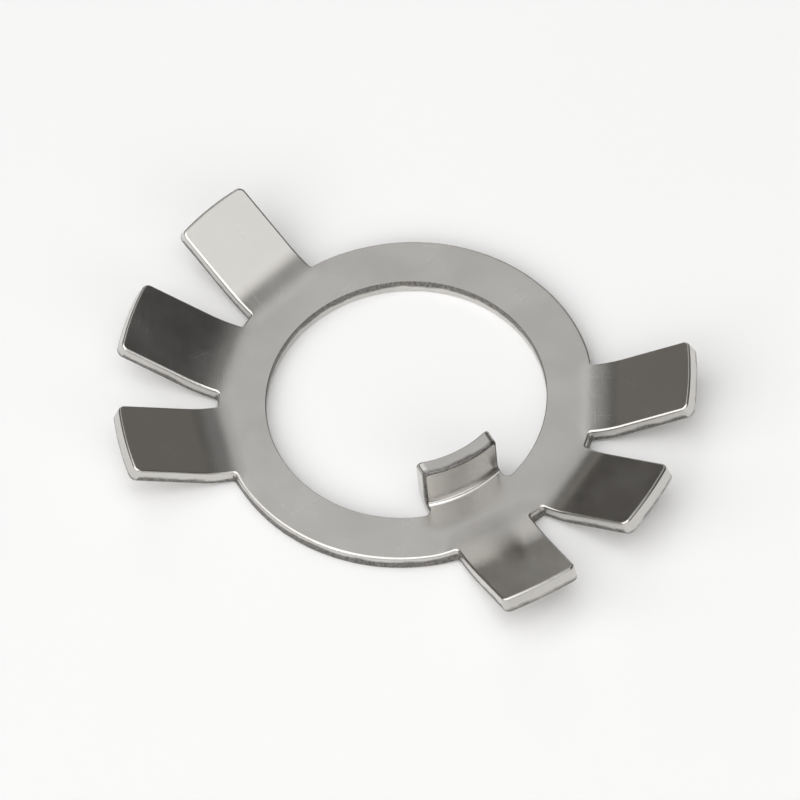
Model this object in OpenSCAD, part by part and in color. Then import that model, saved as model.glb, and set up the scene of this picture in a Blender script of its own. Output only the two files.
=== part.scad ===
// Tab lock washer for a slotted round nut: one piece of sheet, stamped and bent.
// A flat ring carries six outer tabs, bent up a little, and one inner tab, bent up square.
// The bore runs along Z, the flat underside rests on Z = 0, and the inner tab stands at +X.
// Lengths are in millimetres and angles in degrees.

/* [Ring] */
// Bore diameter, a running fit over the thread
bore_d = 16.5; // [16.4:0.1:17.2]
// Outside diameter of the flat ring
ring_d = 22.3; // [21.8:0.1:23.4]
// Sheet thickness
sheet_t = 1; // [0.8:0.05:1.2]
// Radius worn onto the outer stamped edges
edge_r = 0.15; // [0.05:0.05:0.25]
// Radius worn onto the edges of the bore
bore_edge_r = 0.05; // [0.05:0.05:0.25]

/* [Outer tabs] */
// Width of an outer tab
tab_w = 4.8; // [4.2:0.1:5]
// Diameter over the tips of the bent outer tabs
tip_d = 34.4; // [30:0.1:40]
// Angle the outer tabs are bent up from the ring
tab_bend = 26; // [10:1:45]
// Inside radius of the outer tab bends
tab_bend_r = 1.5; // [0.5:0.1:3]
// How far inside the rim of the ring the outer tab bends start
bend_in = 0.1; // [0.08:0.01:0.12]
// Radius on the two corners of a tab tip, seen from above
tip_corner_r = 0.45; // [0.3:0.05:0.8]
// Angle between neighbouring tabs in a group of three
tab_pitch = 30; // [29:1:34]
// Angle from the first tab of one group to the first tab of the other
group_angle = 195; // [150:1:210]

/* [Inner tab] */
// Width of the inner tab, a sliding fit in the slot of the shaft
key_w = 4.8; // [3.5:0.1:5.2]
// Distance from the bore axis to the outer face of the upright leg
key_face = 7.4; // [7.2:0.05:7.45]
// Height of the upright leg above the top of the ring
key_h = 3; // [2:0.1:4.5]
// Inside radius of the square bend
key_bend_r = 0.3; // [0.2:0.05:0.35]
// Radius on the two top corners of the upright leg
key_corner_r = 0.4; // [0.3:0.05:0.8]
// Radius in the corner between the inner tab and the bore
key_root_r = 0.4; // [0.2:0.05:0.4]

/* [Hidden] */
$fn = 96;
// Tabs in each group and number of groups
group_tabs = 3;
groups = 2;
bore_r = bore_d / 2;
ring_r = ring_d / 2;
// How far one shape reaches into the next so that they join into one solid
lap = 0.8;
key_lap = 0.5;
// Flat sheet left on the bent part of the inner tab where it joins the tongue
key_flat = 0.15;
// Middle of the ring's width, where its two halves join and the roots of the tabs begin
mid_r = (bore_r + ring_r) / 2;

// Outer tab: start of the bend
bend_x = ring_r - bend_in;
// Fillet at the foot of a tab: it leaves the tab where the bend starts and meets the ring's circle
fillet_r = (pow(bend_x, 2) - pow(ring_r, 2) + pow(tab_w / 2, 2)) / (ring_d - tab_w);
fillet_y = tab_w / 2 + fillet_r;
fillet_a = atan2(fillet_y, bend_x);
// Straight leaf of the tab, from the end of the bend to the tip
leaf_l = (tip_d / 2 - bend_x - (tab_bend_r + sheet_t) * sin(tab_bend)) / cos(tab_bend);
// Tip: an arc of the round blank, so its radius is the flat reach of the tab. The arc swells out
// of a straight end between the two rounded corners, over this share of the end
swell = 0.75;
neutral_r = tab_bend_r + sheet_t / 2;
tip_r = bend_x + neutral_r * tab_bend * PI / 180 + leaf_l;
tip_y = tab_w / 2 - tip_corner_r;
tip_half = asin(tip_y / tip_r);
tip_x = leaf_l - tip_r * (1 - cos(swell * tip_half)) - tip_corner_r;

// Inner tab: start of the bend, inner face and top of the leg, centre of a root fillet
key_bend_x = key_face + key_bend_r;
key_in = key_face - sheet_t;
key_top = sheet_t + key_h;
key_root_y = key_w / 2 + key_root_r;
key_root_x = sqrt(pow(bore_r - key_root_r, 2) - pow(key_root_y, 2));
key_root_a = atan2(key_root_y, key_root_x);
// Half of the arc the inner tab is bent along, with a few degrees to trim from its two sides
key_trim = 5;
key_half = asin(key_w / 2 / key_in) + key_trim;

// Rectangle from the origin with all four corners rounded
module rounded(w, h, r) {
    translate([r, 0])
        square([w - 2 * r, h]);
    translate([0, r])
        square([w, h - 2 * r]);
    for (x = [r, w - r], y = [r, h - r])
        translate([x, y])
            circle(r);
}

// Rectangle from the origin with only the two corners at its far end rounded
module half_rounded(w, h, r) {
    square([w - r, h]);
    translate([0, r])
        square([w, h - 2 * r]);
    for (y = [r, h - r])
        translate([w - r, y])
            circle(r);
}

// Straight bar of sheet along +X with its two long edges rounded to r
module bar(l, w, r) {
    translate([0, -w / 2, 0])
        rotate([90, 0, 90])
            linear_extrude(l)
                rounded(w, sheet_t, r);
}

// Sheet curved about the Z axis, its edges rounded at the outer radius
module outer_arc(r, reach, angle) {
    rotate_extrude(angle = angle)
        translate([r - reach, 0])
            half_rounded(reach, sheet_t, edge_r);
}

// Flat ring: worn edges at the rim, crisper ones at the bore
module ring() {
    rotate_extrude() {
        translate([mid_r - lap, 0])
            half_rounded(ring_r - mid_r + lap, sheet_t, edge_r);
        translate([mid_r, 0])
            mirror([1, 0])
                half_rounded(mid_r - bore_r, sheet_t, bore_edge_r);
    }
}

// Straight leaf of an outer tab, lying flat, from the end of its bend to its rounded tip
module leaf() {
    bar(tip_x, tab_w, edge_r);
    translate([leaf_l - tip_r, 0, 0])
        rotate([0, 0, -tip_half])
            outer_arc(tip_r, lap, 2 * tip_half);
    translate([tip_x, -tip_y, 0])
        rotate([90, 0, 180])
            mirror([1, 0, 0])
                linear_extrude(2 * tip_y)
                    half_rounded(tip_corner_r, sheet_t, edge_r);
    for (s = [0, 1])
        mirror([0, s, 0])
            translate([tip_x, tip_y, 0])
                outer_arc(tip_corner_r, tip_corner_r, 90);
}

// Outer tab along +X: flat root inside the ring, round bend, then the leaf
module outer_tab() {
    translate([mid_r, 0, 0])
        bar(bend_x - mid_r, tab_w, edge_r);
    translate([bend_x, 0, sheet_t + tab_bend_r])
        rotate([90, 90, 0])
            rotate_extrude(angle = tab_bend)
                translate([tab_bend_r, -tab_w / 2])
                    rounded(sheet_t, tab_w, edge_r);
    translate([bend_x, 0, sheet_t + tab_bend_r])
        rotate([0, -tab_bend, 0])
            translate([0, 0, -sheet_t - tab_bend_r])
                leaf();
}

// Fillet web about the Z axis in an inside corner, between edges of the sheet worn to e
module corner_web(r, reach, angle, e) {
    translate([0, 0, e])
        rotate_extrude(angle = angle)
            translate([r, 0])
                square([reach, sheet_t - 2 * e]);
}

// Fillets between the two sides of an outer tab along +X and the rim
module rim_fillets() {
    for (s = [0, 1])
        mirror([0, s, 0])
            translate([bend_x, fillet_y, 0])
                rotate([0, 0, 180 + fillet_a])
                    corner_web(fillet_r, lap, 90 - fillet_a, edge_r);
}

// Section of the inner tab through its bend and upright leg, outward to the right
module key_section() {
    translate([key_bend_x, 0])
        square([key_flat, sheet_t]);
    translate([key_bend_x, sheet_t + key_bend_r])
        intersection() {
            difference() {
                circle(key_bend_r + sheet_t);
                circle(key_bend_r);
            }
            translate([-key_bend_r - sheet_t, -key_bend_r - sheet_t])
                square(key_bend_r + sheet_t);
        }
    translate([key_in, sheet_t + key_bend_r])
        rotate([0, 0, 90])
            mirror([0, 1])
                half_rounded(key_h - key_bend_r, sheet_t, edge_r);
}

// Inner tab at +X: flat tongue, square bend along an arc about the bore, upright leg
module inner_tab() {
    difference() {
        translate([key_in, 0, 0])
            bar(bore_r + lap - key_in, key_w, bore_edge_r);
        translate([0, 0, -lap])
            cylinder(h = sheet_t + 2 * lap, r = key_bend_x);
    }
    intersection() {
        rotate([0, 0, -key_half])
            rotate_extrude(angle = 2 * key_half)
                key_section();
        translate([0, -key_w / 2, -lap])
            rotate([0, -90, 180])
                mirror([0, 1, 0])
                    linear_extrude(bore_r)
                        half_rounded(key_top + lap, key_w, key_corner_r);
    }
}

// Fillets in the two corners between the inner tab and the bore
module key_fillets() {
    for (s = [0, 1])
        mirror([0, s, 0])
            translate([key_root_x, key_root_y, 0])
                rotate([0, 0, -90])
                    corner_web(key_root_r, key_lap, 90 + key_root_a, bore_edge_r);
}

module washer() {
    color("silver") {
        ring();
        for (g = [0 : groups - 1], t = [0 : group_tabs - 1])
            rotate([0, 0, g * group_angle + t * tab_pitch]) {
                outer_tab();
                rim_fillets();
            }
        inner_tab();
        key_fillets();
    }
}

washer();
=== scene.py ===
"""Tab lock washer: one piece of stamped and bent stainless sheet, tumbled to a satin finish."""

import math
from collections import namedtuple

import bpy
from mathutils import Matrix, Vector
from mathutils.geometry import delaunay_2d_cdt


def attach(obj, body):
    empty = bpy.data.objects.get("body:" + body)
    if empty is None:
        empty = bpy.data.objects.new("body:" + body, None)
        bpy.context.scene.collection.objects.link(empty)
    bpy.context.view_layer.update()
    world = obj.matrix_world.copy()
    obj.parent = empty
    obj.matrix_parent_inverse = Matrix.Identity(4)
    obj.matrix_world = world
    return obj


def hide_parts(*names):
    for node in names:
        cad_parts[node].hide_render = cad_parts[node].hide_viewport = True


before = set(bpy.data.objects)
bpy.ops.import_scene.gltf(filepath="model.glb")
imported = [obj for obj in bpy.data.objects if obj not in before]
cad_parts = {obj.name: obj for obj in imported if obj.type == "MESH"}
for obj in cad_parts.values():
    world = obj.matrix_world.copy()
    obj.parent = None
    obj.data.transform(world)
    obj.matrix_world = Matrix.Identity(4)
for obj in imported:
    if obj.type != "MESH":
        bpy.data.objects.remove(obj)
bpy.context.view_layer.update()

# Sizes of the washer in millimetres, the same as the solid's
MM = 0.001
BORE_R = 8.25
RING_R = 11.15
SHEET = 1.0
EDGE_R = 0.15
BORE_EDGE_R = 0.05

TAB_W = 4.8
TIP_D = 34.4
TAB_BEND = math.radians(26)
TAB_BEND_R = 1.5
BEND_IN = 0.1
BEND_X = RING_R - BEND_IN
TIP_CORNER_R = 0.45
TAB_ANGLES = [math.radians(a) for a in (0, 30, 60, 195, 225, 255)]

KEY_W = 4.8
KEY_FACE = 7.4
KEY_H = 3.0
KEY_BEND_R = 0.3
KEY_CORNER_R = 0.4
KEY_ROOT_R = 0.4

# Outer tab: where the top faces of ring and leaf would meet, length and tip of the leaf
BEND_TAN = math.tan(TAB_BEND / 2)
BEND_APEX = BEND_X + TAB_BEND_R * BEND_TAN
LEAF_L = (TIP_D / 2 - BEND_X - (TAB_BEND_R + SHEET) * math.sin(TAB_BEND)) / math.cos(TAB_BEND)
LEAF_REACH = LEAF_L + TAB_BEND_R * BEND_TAN
TIP_R = BEND_X + (TAB_BEND_R + SHEET / 2) * TAB_BEND + LEAF_L
TIP_Y = TAB_W / 2 - TIP_CORNER_R
TIP_HALF = math.asin(TIP_Y / (TIP_R - TIP_CORNER_R))

# How softly each tab was bent, as a radius, in the order of TAB_ANGLES
SOFT_BENDS = (8.5, 5.0, 6.0, 6.5, 6.5, 6.0)
# How far beside a tab the rim of the ring is lifted with it
RIM_LIFT = 1.2

# Fillet between a tab and the rim
FILLET_R = (BEND_X ** 2 - RING_R ** 2 + (TAB_W / 2) ** 2) / (2 * RING_R - TAB_W)
FILLET_Y = TAB_W / 2 + FILLET_R
FILLET_A = math.atan2(FILLET_Y, BEND_X)

# Inner tab: start and developed length of the square bend, developed top, root fillets
KEY_BEND_X = KEY_FACE + KEY_BEND_R
KEY_NEUTRAL_R = KEY_BEND_R + SHEET / 2
KEY_BEND_L = KEY_NEUTRAL_R * math.pi / 2
KEY_END = KEY_BEND_L + KEY_H - KEY_BEND_R
KEY_ROOT_Y = KEY_W / 2 + KEY_ROOT_R
KEY_ROOT_X = math.sqrt((BORE_R - KEY_ROOT_R) ** 2 - KEY_ROOT_Y ** 2)
KEY_ROOT_A = math.atan2(KEY_ROOT_Y, KEY_ROOT_X)
KEY_START = KEY_BEND_X - math.hypot(KEY_ROOT_X, KEY_W / 2)

# A stamped edge: the radius worn onto it, the share of its wall in the dark band of torn metal and
# painted shade rather than sheared, and whether it tore at the top, as the bore did, which was
# punched from the other side
Cut = namedtuple("Cut", "edge torn at_top")
SIDE_CUT = Cut(EDGE_R, 0.42, False)
TIP_CUT = Cut(EDGE_R, 0.2, False)
RIM_CUT = Cut(EDGE_R, 0.7, False)
BORE_CUT = Cut(BORE_EDGE_R, 0.5, True)
LEG_CUT = Cut(EDGE_R, 0.24, True)
# A dark band at the top runs on over the worn radius as painted shade over its highlight, and one
# at the bottom stops before it
PAINTED_SHADE_RUNS_ON = 4.0
TEAR_AND_SHADE_STOPS = 4.0

# How finely curves are cut
ARC_STEP = math.radians(1.5)
ARC_LEAST_STEPS = 4
CORNER_STEPS = 10
TIP_STEPS = 12
SIDE_STEP = 0.2
BEND_CROSS_STEPS = 24
KEY_BEND_STEPS = 12
KEY_LEG_STEPS = 6
KEY_CROSS_STEPS = 16
ROUND_STEPS = 6
# A bend's own points stop just short of half way to the next tab, and this far from worn edges
BEND_HALF = math.radians(14.5)
EDGE_ROOM = 2 * EDGE_R
# Step that directions on the sheet are measured with, and how close two points may come
NUDGE = 1e-3
SAME_POINT = 1e-7

# Camera of the photograph in the part's frame, in millimetres, moved onto this one washer
VIEW_YAW = math.radians(63.86)
CAM_PLACE = Vector((383.9, -164.81, 639.24))
CAM_UP = Vector((-0.7139, 0.4181, 0.5618))
CAM_AIM = Vector((0.0, -0.4, 1.2))
FRAME_PX = 800
FOCAL_PX = 13000
SENSOR_MM = 36.0
CLIP_START = 10.0

# Lamps: azimuth to the right from the back of the photograph and elevation in degrees, distance,
# width and height in metres, and the radiance that a mirror would show
Lamp = namedtuple("Lamp", "name azimuth elevation distance width height radiance")
LAMPS = (
    Lamp("back_strip", -2, 38, 0.9, 0.38, 1.04, 0.42),
    Lamp("back_low", -9, 27, 0.9, 0.24, 0.46, 0.27),
    Lamp("back_box", 9, 50, 0.3, 0.17, 0.14, 0.1),
    Lamp("back_left", -30, 50, 0.6, 0.22, 0.2, 0.24),
    Lamp("back_right", 31, 42, 0.6, 0.14, 0.14, 0.12),
    Lamp("side_box", 103, 62, 0.6, 0.28, 0.28, 1.06),
    Lamp("top_box", 158, 71, 0.6, 0.25, 0.25, 1.1),
    Lamp("front_low", 178, 32, 0.9, 1.9, 0.5, 1.3),
    Lamp("front_left", -115, 58, 0.9, 1.1, 1.5, 1.52),
)

# Colours of the room by the sine of the elevation: dim at the horizon, a paler band above it,
# dark walls, and lighter overhead
ROOM_STOPS = (
    (0.0, (0.13, 0.12, 0.105)),
    (0.1, (0.14, 0.13, 0.115)),
    (0.2, (0.07, 0.066, 0.062)),
    (0.3, (0.045, 0.045, 0.045)),
    (0.4, (0.17, 0.16, 0.145)),
    (0.46, (0.28, 0.265, 0.24)),
    (0.54, (0.14, 0.135, 0.13)),
    (0.6, (0.04, 0.04, 0.04)),
    (0.8, (0.05, 0.05, 0.05)),
    (0.92, (0.28, 0.28, 0.275)),
    (1.0, (0.38, 0.38, 0.375)),
)

# Floor, in metres: half its side, and its gap under the washer
FLOOR_HALF = 1.6
FLOOR_GAP = 0.00002
FLOOR_DARK = (0.975, 0.975, 0.975, 1)
FLOOR_PALE = (0.985, 0.985, 0.985, 1)

# Steel: the two tones of its mottle, of a scratch, and of the dark wall band of torn metal and
# painted shade
STEEL_DARK = (0.575, 0.56, 0.535, 1)
STEEL_PALE = (0.635, 0.62, 0.595, 1)
SCRATCH = (0.72, 0.71, 0.69, 1)
TORN_AND_SHADE_DARK = (0.1, 0.096, 0.09, 1)
TORN_AND_SHADE_PALE = (0.28, 0.27, 0.255, 1)
# Directions of the scratches, each with a seed of its own
SCRATCH_WAYS = ((0.5, 11.0), (1.45, 23.0), (2.3, 37.0), (2.95, 51.0))
BUMP_STRENGTH = 0.2
BUMP_DISTANCE = 0.00003


def smooth(x):
    """Soft step from 0 to 1."""
    x = min(max(x, 0.0), 1.0)
    return x * x * (3 - 2 * x)


class Chart:
    """Takes a point of the flat blank, p, at height t in the sheet to its place on the washer;
    its plan is where the point lies when the faces of the sheet are cut into triangles."""

    def turn(self, p, n, nt):
        """A direction of the flat blank, n across it and nt up, turned with the sheet."""
        t = SHEET / 2
        across = [self.place(p + Vector(d), t) - self.place(p - Vector(d), t)
                  for d in ((NUDGE, 0), (0, NUDGE))]
        up = self.place(p, t + NUDGE) - self.place(p, t - NUDGE)
        a, b = across
        turned = n[0] * b.cross(up) + n[1] * up.cross(a) + nt * a.cross(b)
        return turned.normalized() * (1 if a.cross(b).dot(up) > 0 else -1)


class BlankChart(Chart):
    """Ring and outer tabs: p is a place on the blank, seen from above."""

    def place(self, p, t):
        flat = Vector((p[0], p[1], t))
        moved, shares = Vector((0, 0, 0)), 0.0
        for angle, radius in zip(TAB_ANGLES, SOFT_BENDS):
            spin = Matrix.Rotation(angle, 3, "Z")
            u, v, _ = spin.inverted() @ Vector((p[0], p[1], 0))
            share = 1 - smooth((abs(v) - TAB_W / 2) / RIM_LIFT)
            if u > 0 and share > 0:
                moved += share * (spin @ self.bent(u, v, t, radius) - flat)
                shares += share
        return flat + moved / max(shares, 1.0)

    def bent(self, u, v, t, radius):
        """Place of a point on a tab along +X that was bent to a radius."""
        start = BEND_APEX - radius * BEND_TAN
        neutral = radius + SHEET / 2
        phi = min(max(u - start, 0.0) / neutral, TAB_BEND)
        beyond = max(u - start - neutral * TAB_BEND, 0.0)
        outer = radius + SHEET - t
        return Vector((min(u, start) + outer * math.sin(phi) + beyond * math.cos(phi), v,
                       SHEET + radius - outer * math.cos(phi) + beyond * math.sin(phi)))

    def plan(self, p):
        return Vector((p[0], p[1]))


class KeyChart(Chart):
    """Inner tab at +X: p is (distance in from the start of the bend, distance across)."""

    def place(self, p, t):
        s, v = p
        phi = min(max(s, 0.0) / KEY_NEUTRAL_R, math.pi / 2)
        outer = KEY_BEND_R + SHEET - t
        r = KEY_BEND_X - min(s, 0.0) - outer * math.sin(phi)
        rise = max(s - KEY_BEND_L, 0.0)
        z = SHEET + KEY_BEND_R - outer * math.cos(phi) + rise
        return Vector((math.sqrt(r * r - v * v), v, z))

    def plan(self, p):
        r = KEY_BEND_X - p[0]
        return Vector((math.sqrt(r * r - p[1] * p[1]), p[1]))


BLANK, KEY = BlankChart(), KeyChart()


def steps(a, b, count):
    """count + 1 even values from a to b."""
    return [a + (b - a) * i / count for i in range(count + 1)]


def arc(chart, centre, radius, start, end, count, cut, hollow=False):
    """Outline points on an arc: chart, place, direction off the sheet and cut. A hollow arc has
    the sheet around it."""
    points = []
    for a in steps(start, end, count):
        d = Vector((math.cos(a), math.sin(a)))
        points.append((chart, Vector(centre) + radius * d, -d if hollow else d, cut))
    return points


def spun(points, angle):
    """Outline points of the blank turned about the bore's axis."""
    turn = Matrix.Rotation(angle, 2)
    return [(chart, turn @ p, turn @ n, cut) for chart, p, n, cut in points]


def tab_tip(tab):
    """Distance from the axis to the tip of a tab on the flat blank."""
    radius = SOFT_BENDS[tab]
    return BEND_APEX - 2 * radius * BEND_TAN + (radius + SHEET / 2) * TAB_BEND + LEAF_REACH


def outer_tab(tab):
    """Outline of one outer tab along +X."""
    tip = tab_tip(tab)
    corner_x = tip - TIP_R + (TIP_R - TIP_CORNER_R) * math.cos(TIP_HALF)
    sides = steps(BEND_X, corner_x, round((corner_x - BEND_X) / SIDE_STEP))
    low, high = Vector((0, -1)), Vector((0, 1))
    points = [(BLANK, Vector((u, -TAB_W / 2)), low, SIDE_CUT) for u in sides]
    points += arc(BLANK, (corner_x, -TIP_Y), TIP_CORNER_R, -math.pi / 2, -TIP_HALF,
                  CORNER_STEPS, TIP_CUT)[1:]
    points += arc(BLANK, (tip - TIP_R, 0), TIP_R, -TIP_HALF, TIP_HALF, TIP_STEPS, TIP_CUT)[1:]
    points += arc(BLANK, (corner_x, TIP_Y), TIP_CORNER_R, TIP_HALF, math.pi / 2,
                  CORNER_STEPS, TIP_CUT)[1:-1]
    points += [(BLANK, Vector((u, TAB_W / 2)), high, SIDE_CUT) for u in reversed(sides)]
    return points


def outer_loop():
    """Outer edge of the blank, anticlockwise."""
    points = []
    for tab, angle in enumerate(TAB_ANGLES):
        after = (TAB_ANGLES + [TAB_ANGLES[0] + 2 * math.pi])[tab + 1]
        points += spun(outer_tab(tab), angle)
        fillet = arc(BLANK, (BEND_X, FILLET_Y), FILLET_R, -math.pi / 2, FILLET_A - math.pi,
                     CORNER_STEPS, RIM_CUT, True)
        points += spun(fillet[1:-1], angle)
        span = after - angle - 2 * FILLET_A
        points += arc(BLANK, (0, 0), RING_R, angle + FILLET_A, after - FILLET_A,
                      max(ARC_LEAST_STEPS, round(span / ARC_STEP)), RIM_CUT)
        fillet = arc(BLANK, (BEND_X, -FILLET_Y), FILLET_R, math.pi - FILLET_A, math.pi / 2,
                     CORNER_STEPS, RIM_CUT, True)
        points += spun(fillet[1:-1], after)
    return points


def key_cut(s):
    """Side of the inner tab: crisp at the bore, worn on the upright leg."""
    share = smooth((s - KEY_START) / KEY_BEND_L)
    return Cut(BORE_CUT.edge + (LEG_CUT.edge - BORE_CUT.edge) * share,
               BORE_CUT.torn + (LEG_CUT.torn - BORE_CUT.torn) * share, True)


def inner_loop():
    """Bore and inner tab, clockwise, with the pairs that face each other across the tab."""
    span = 2 * math.pi - 2 * KEY_ROOT_A
    points = arc(BLANK, (0, 0), BORE_R, -KEY_ROOT_A, KEY_ROOT_A - 2 * math.pi,
                 round(span / ARC_STEP), BORE_CUT, True)
    points += arc(BLANK, (KEY_ROOT_X, KEY_ROOT_Y), KEY_ROOT_R, KEY_ROOT_A, -math.pi / 2,
                  CORNER_STEPS, BORE_CUT, True)[1:-1]
    sides = [KEY_START] + steps(0.0, KEY_BEND_L, KEY_BEND_STEPS)
    sides += steps(KEY_BEND_L, KEY_END - KEY_CORNER_R, KEY_LEG_STEPS)[1:]
    first = len(points)
    points += [(KEY, Vector((s, KEY_W / 2)), Vector((0, 1)), key_cut(s)) for s in sides]
    corner = (KEY_END - KEY_CORNER_R, KEY_W / 2 - KEY_CORNER_R)
    points += arc(KEY, corner, KEY_CORNER_R, math.pi / 2, 0, CORNER_STEPS, LEG_CUT)[1:]
    top = steps(corner[1], -corner[1], KEY_CROSS_STEPS)[1:]
    points += [(KEY, Vector((KEY_END, v)), Vector((1, 0)), LEG_CUT) for v in top]
    points += arc(KEY, (corner[0], -corner[1]), KEY_CORNER_R, 0, -math.pi / 2,
                  CORNER_STEPS, LEG_CUT)[1:-1]
    points += [(KEY, Vector((s, -KEY_W / 2)), Vector((0, -1)), key_cut(s)) for s in reversed(sides)]
    last = len(points) - 1
    pairs = [(first + i, last - i) for i in range(len(sides))]
    points += arc(BLANK, (KEY_ROOT_X, -KEY_ROOT_Y), KEY_ROOT_R, math.pi / 2, -KEY_ROOT_A,
                  CORNER_STEPS, BORE_CUT, True)[1:-1]
    return points, pairs


def bend_points():
    """Points of the blank where it is bent, so that the faces follow the bends."""
    points = []
    for tab, angle in enumerate(TAB_ANGLES):
        radius = SOFT_BENDS[tab]
        start = BEND_APEX - radius * BEND_TAN
        end = start + (radius + SHEET / 2) * TAB_BEND
        for u in steps(start, end, round((end - start) / SIDE_STEP)):
            for v in steps(-TAB_W / 2 - RIM_LIFT, TAB_W / 2 + RIM_LIFT, BEND_CROSS_STEPS):
                inside_rim = math.hypot(u, v) < RING_R - EDGE_ROOM
                inside_tab = abs(v) < TAB_W / 2 - EDGE_ROOM
                if inside_tab or (inside_rim and abs(v) < u * math.tan(BEND_HALF)):
                    points.append(Matrix.Rotation(angle, 2) @ Vector((u, v)))
    return points


def edge_profile(edge):
    """From the underside to the top: inset, height, outward and upward parts of the normal."""
    low = []
    for a in steps(0, math.pi / 2, ROUND_STEPS):
        out, down = math.sin(a), math.cos(a)
        low.append((edge * (1 - out), edge * (1 - down), out, -down))
    high = [(inset, SHEET - t, out, -up) for inset, t, out, up in reversed(low)]
    return low + high


def inside(q, loop):
    """Whether a plan point lies inside a closed plan loop."""
    odd = False
    for a, b in zip(loop, loop[1:] + loop[:1]):
        if (a.y > q.y) != (b.y > q.y) and q.x < a.x + (q.y - a.y) * (b.x - a.x) / (b.y - a.y):
            odd = not odd
    return odd


class SheetMesh:
    """Vertices, normals and faces of the washer as they are laid down. For each vertex, walls
    says how much it belongs to a stamped wall, counting the worn radius above a top band so that
    painted shade covers it, and the tear values are above zero in the dark band of torn metal and
    painted shade."""

    def __init__(self):
        self.verts, self.normals, self.walls, self.tears, self.faces = [], [], [], [], []

    def add(self, chart, p, t, n, nt, wall=0.0, tear=-1.0):
        self.verts.append(chart.place(p, t) * MM)
        self.normals.append(chart.turn(p, n, nt))
        self.walls.append(wall)
        self.tears.append(tear)
        return len(self.verts) - 1

    def band(self, loop):
        """Rounded and sheared edge along an outline; returns its lowest and highest rings."""
        columns = []
        for chart, p, n, cut in loop:
            column = []
            for inset, t, out, up in edge_profile(cut.edge):
                # At the top the dark band runs on over the worn radius: painted shade that covers
                # its highlight
                wall = min(1.0, PAINTED_SHADE_RUNS_ON * out) if cut.at_top else out ** TEAR_AND_SHADE_STOPS
                depth = SHEET - t if cut.at_top else t
                tear = cut.torn - depth / SHEET
                column.append(self.add(chart, p - n * inset, t, n * out, up, wall, tear))
            columns.append(column)
        for here, there in zip(columns, columns[1:] + columns[:1]):
            for k in range(len(here) - 1):
                self.faces.append((here[k], there[k], there[k + 1], here[k + 1]))
        return [c[0] for c in columns], [c[-1] for c in columns]

    def face(self, loops, rings, crossings, loose, t, nt):
        """Top or underside of the sheet between the two inset outlines, with chains of points
        across the inner tab and loose points on the bends."""
        ids, plan, edges, outlines, starts = [], [], [], [], []
        for loop, ring in zip(loops, rings):
            starts.append(len(plan))
            flat = [c.plan(p - n * cut.edge) for c, p, n, cut in loop]
            outlines.append(flat)
            edges += [(starts[-1] + i, starts[-1] + (i + 1) % len(flat)) for i in range(len(flat))]
            plan += flat
            ids += ring
        for a, b, inner in crossings:
            chain = [starts[1] + a]
            for p in inner:
                chain.append(len(plan))
                plan.append(KEY.plan(p))
                ids.append(self.add(KEY, p, t, Vector((0, 0)), nt))
            chain.append(starts[1] + b)
            edges += list(zip(chain, chain[1:]))
        for p in loose:
            plan.append(p)
            ids.append(self.add(BLANK, p, t, Vector((0, 0)), nt))
        where, _, triangles, origin, *_ = delaunay_2d_cdt(plan, edges, [], 0, SAME_POINT)
        for tri in triangles:
            middle = sum((where[i] for i in tri), Vector((0, 0))) / 3
            if not inside(middle, outlines[0]) or inside(middle, outlines[1]):
                continue
            corner = [ids[origin[i][0]] for i in tri]
            self.faces.append(corner if nt > 0 else corner[::-1])


def washer_mesh():
    """The whole washer as one closed mesh, with its normals and the marks of its walls."""
    outer = outer_loop()
    inner, pairs = inner_loop()
    crossings = []
    for a, b in pairs:
        s, edge = inner[a][1][0], inner[a][3].edge
        across = steps(KEY_W / 2 - edge, edge - KEY_W / 2, KEY_CROSS_STEPS)[1:-1]
        crossings.append((a, b, [Vector((s, v)) for v in across]))
    sheet = SheetMesh()
    loops = (outer, inner)
    bands = [sheet.band(loop) for loop in loops]
    loose = bend_points()
    sheet.face(loops, [b[0] for b in bands], crossings, loose, 0.0, -1.0)
    sheet.face(loops, [b[1] for b in bands], crossings, loose, SHEET, 1.0)
    mesh = bpy.data.meshes.new("washer_sheet")
    mesh.from_pydata(sheet.verts, [], sheet.faces)
    mesh.polygons.foreach_set("use_smooth", [True] * len(mesh.polygons))
    mesh.normals_split_custom_set_from_vertices(sheet.normals)
    for name, values in (("wall", sheet.walls), ("tear", sheet.tears)):
        mesh.attributes.new(name, "FLOAT", "POINT").data.foreach_set("value", values)
    return mesh


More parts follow.
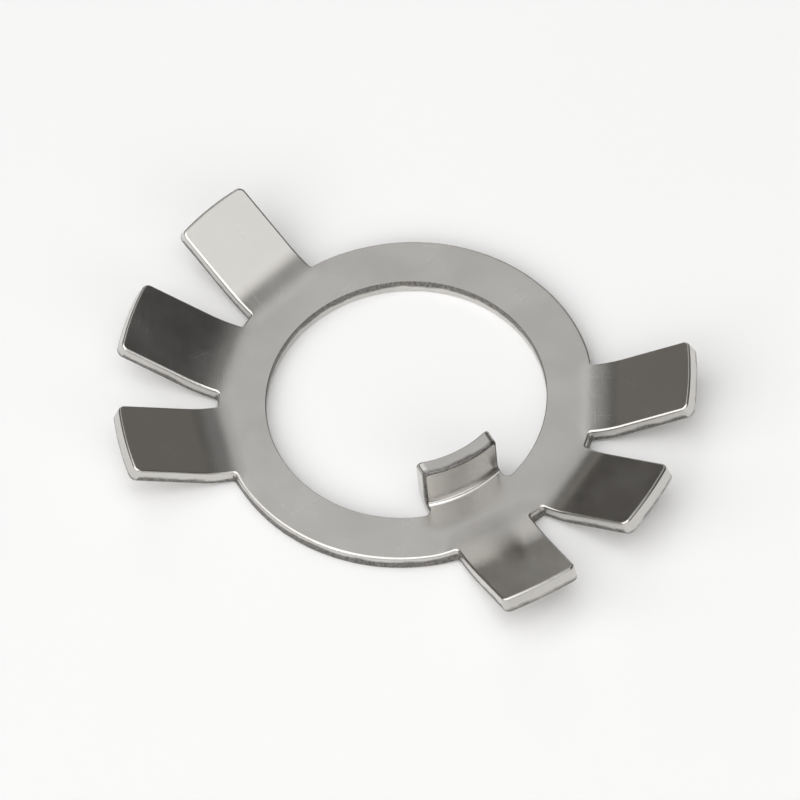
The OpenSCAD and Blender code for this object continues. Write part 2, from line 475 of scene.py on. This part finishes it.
class Nodes:
    """Shorthand for building a node tree."""

    def __init__(self, tree):
        self.tree = tree
        tree.nodes.clear()

    def add(self, kind, **settings):
        node = self.tree.nodes.new(kind)
        for name, value in settings.items():
            setattr(node, name, value)
        return node

    def link(self, a, b):
        self.tree.links.new(a, b)

    def feed(self, socket, value):
        if hasattr(value, "is_output"):
            self.link(value, socket)
        else:
            socket.default_value = value

    def math(self, operation, a, b=0.0, clamp=False):
        node = self.add("ShaderNodeMath", operation=operation, use_clamp=clamp)
        self.feed(node.inputs[0], a)
        self.feed(node.inputs[1], b)
        return node.outputs[0]

    def span(self, value, low, high, to_low=0.0, to_high=1.0):
        node = self.add("ShaderNodeMapRange", clamp=True)
        self.feed(node.inputs["Value"], value)
        for name, number in (("From Min", low), ("From Max", high),
                             ("To Min", to_low), ("To Max", to_high)):
            node.inputs[name].default_value = number
        return node.outputs["Result"]

    def mix(self, factor, a, b):
        node = self.add("ShaderNodeMix", data_type="RGBA")
        self.feed(node.inputs[0], factor)
        self.feed(node.inputs[6], a)
        self.feed(node.inputs[7], b)
        return node.outputs[2]

    def mapping(self, vector, scale, rotation=(0, 0, 0), location=(0, 0, 0)):
        node = self.add("ShaderNodeMapping")
        self.link(vector, node.inputs["Vector"])
        node.inputs["Scale"].default_value = scale
        node.inputs["Rotation"].default_value = rotation
        node.inputs["Location"].default_value = location
        return node.outputs["Vector"]

    def noise(self, vector, scale, detail=2.0, roughness=0.5):
        node = self.add("ShaderNodeTexNoise")
        self.link(vector, node.inputs["Vector"])
        node.inputs["Scale"].default_value = scale
        node.inputs["Detail"].default_value = detail
        node.inputs["Roughness"].default_value = roughness
        return node.outputs["Fac"]


def scratches(n, place, angle, seed):
    """Thin straight marks in one direction: noise drawn out a long way and cut to its peaks."""
    turned = n.mapping(place, (1, 1, 1), (0, 0, angle))
    drawn = n.mapping(turned, (0.3, 11.0, 0.3), location=(seed, 3.1 * seed, 0.7 * seed))
    return n.span(n.noise(drawn, 1.0, 0.5), 0.66, 0.82)


def steel():
    """Satin tumbled stainless: fine random marks, faint mottle, and walls that are burnished
    where they were sheared, and dark and rough in a band of torn metal and painted shade."""
    material = bpy.data.materials.new("tumbled_steel")
    material.use_nodes = True
    n = Nodes(material.node_tree)
    out = n.add("ShaderNodeOutputMaterial")
    shader = n.add("ShaderNodeBsdfPrincipled")
    n.link(shader.outputs["BSDF"], out.inputs["Surface"])
    shader.inputs["Metallic"].default_value = 1.0

    coords = n.add("ShaderNodeTexCoord").outputs["Object"]
    place = n.mapping(coords, (1 / MM, 1 / MM, 1 / MM))
    wall = n.add("ShaderNodeAttribute", attribute_name="wall").outputs["Fac"]
    tear = n.add("ShaderNodeAttribute", attribute_name="tear").outputs["Fac"]

    mottle = n.noise(place, 0.3, 4.0, 0.55)
    grain = n.noise(place, 9.0, 2.0)
    marks = scratches(n, place, *SCRATCH_WAYS[0])
    for angle, seed in SCRATCH_WAYS[1:]:
        marks = n.math("MAXIMUM", marks, scratches(n, place, angle, seed))
    # Mask of the dark wall band: torn metal, painted shade over the worn radius at the top of the
    # bore and leg, and darker towards the bottom of the outer walls
    ragged = n.math("ADD", tear, n.span(n.noise(place, 0.9, 3.0, 0.6), 0.25, 0.75, -0.12, 0.12))
    torn_and_shade_mask = n.math("MULTIPLY", wall, n.span(ragged, -0.1, 0.1))
    pits = n.noise(n.mapping(place, (1, 1, 0.6)), 7.0, 3.0, 0.7)

    face = n.mix(n.span(mottle, 0.3, 0.7), STEEL_DARK, STEEL_PALE)
    face = n.mix(n.math("MULTIPLY", marks, 0.12), face, SCRATCH)
    # Colour of the dark wall band: torn metal and painted shade
    torn = n.mix(n.span(pits, 0.35, 0.65), TORN_AND_SHADE_DARK, TORN_AND_SHADE_PALE)
    n.link(n.mix(torn_and_shade_mask, face, torn), shader.inputs["Base Color"])

    rough = n.math("ADD", n.span(mottle, 0.3, 0.7, 0.2, 0.26), n.math("MULTIPLY", marks, 0.03))
    rough = n.math("ADD", rough, n.math("MULTIPLY", torn_and_shade_mask, 0.2))
    n.link(rough, shader.inputs["Roughness"])

    height = n.math("ADD", n.math("MULTIPLY", grain, 0.25), n.math("MULTIPLY", marks, -0.14))
    height = n.math("ADD", height, n.math("MULTIPLY", n.math("MULTIPLY", pits, torn_and_shade_mask), 2.0))
    bump = n.add("ShaderNodeBump")
    bump.inputs["Strength"].default_value = BUMP_STRENGTH
    bump.inputs["Distance"].default_value = BUMP_DISTANCE
    n.link(height, bump.inputs["Height"])
    n.link(bump.outputs["Normal"], shader.inputs["Normal"])
    return material


def floor():
    """Plain matt floor, almost white."""
    material = bpy.data.materials.new("pale_floor")
    material.use_nodes = True
    n = Nodes(material.node_tree)
    out = n.add("ShaderNodeOutputMaterial")
    shader = n.add("ShaderNodeBsdfPrincipled")
    n.link(shader.outputs["BSDF"], out.inputs["Surface"])
    place = n.add("ShaderNodeTexCoord").outputs["Object"]
    shade = n.span(n.noise(place, 40.0, 2.0), 0.3, 0.7)
    n.link(n.mix(shade, FLOOR_DARK, FLOOR_PALE), shader.inputs["Base Color"])
    shader.inputs["Roughness"].default_value = 0.9
    shader.inputs["Specular IOR Level"].default_value = 0.1
    half = FLOOR_HALF
    corners = [(-half, -half, 0), (half, -half, 0), (half, half, 0), (-half, half, 0)]
    mesh = bpy.data.meshes.new("floor")
    mesh.from_pydata(corners, [], [(0, 1, 2, 3)])
    mesh.materials.append(material)
    plane = bpy.data.objects.new("floor", mesh)
    plane.location.z = -FLOOR_GAP
    bpy.context.scene.collection.objects.link(plane)


def panel(lamp):
    """Soft rectangular lamp that faces the washer."""
    light = bpy.data.lights.new(lamp.name, "AREA")
    light.shape = "RECTANGLE"
    light.size, light.size_y = lamp.width, lamp.height
    light.energy = lamp.radiance * math.pi * lamp.width * lamp.height
    turn = VIEW_YAW - math.radians(lamp.azimuth)
    rise = math.radians(lamp.elevation)
    level = math.cos(rise)
    way = Vector((-math.sin(turn) * level, math.cos(turn) * level, math.sin(rise)))
    aim = (-way).to_track_quat("-Z", "Y").to_matrix().to_4x4()
    obj = bpy.data.objects.new(lamp.name, light)
    obj.matrix_world = Matrix.Translation(way * lamp.distance) @ aim
    bpy.context.scene.collection.objects.link(obj)


def surroundings():
    """Dim room that the steel mirrors, coloured by elevation."""
    world = bpy.data.worlds.new("room")
    bpy.context.scene.world = world
    world.use_nodes = True
    n = Nodes(world.node_tree)
    out = n.add("ShaderNodeOutputWorld")
    back = n.add("ShaderNodeBackground")
    way = n.add("ShaderNodeSeparateXYZ")
    n.link(n.add("ShaderNodeTexCoord").outputs["Generated"], way.inputs[0])
    ramp = n.add("ShaderNodeValToRGB")
    elements = ramp.color_ramp.elements
    for at, colour in ROOM_STOPS[1:-1]:
        elements.new(at).color = (*colour, 1)
    elements[0].color = (*ROOM_STOPS[0][1], 1)
    elements[-1].color = (*ROOM_STOPS[-1][1], 1)
    n.link(way.outputs["Z"], ramp.inputs["Fac"])
    n.link(ramp.outputs["Color"], back.inputs["Color"])
    n.link(back.outputs["Background"], out.inputs["Surface"])


def camera():
    """Long lens at the photograph's viewing angle."""
    lens = bpy.data.cameras.new("camera")
    lens.sensor_fit = "HORIZONTAL"
    lens.sensor_width = SENSOR_MM
    lens.lens = SENSOR_MM * FOCAL_PX / FRAME_PX
    lens.clip_start = CLIP_START * MM
    obj = bpy.data.objects.new("camera", lens)
    back = (CAM_PLACE - CAM_AIM).normalized()
    right = CAM_UP.cross(back).normalized()
    turn = Matrix((right, back.cross(right), back)).transposed().to_4x4()
    obj.matrix_world = Matrix.Translation(CAM_PLACE * MM) @ turn
    bpy.context.scene.collection.objects.link(obj)
    bpy.context.scene.camera = obj


piece = bpy.data.objects.new("stamped_washer", washer_mesh())
piece.data.materials.append(steel())
bpy.context.scene.collection.objects.link(piece)
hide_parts("washer")
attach(piece, "root")

floor()
surroundings()
for each in LAMPS:
    panel(each)
camera()
bpy.context.scene.view_settings.view_transform = "Standard"
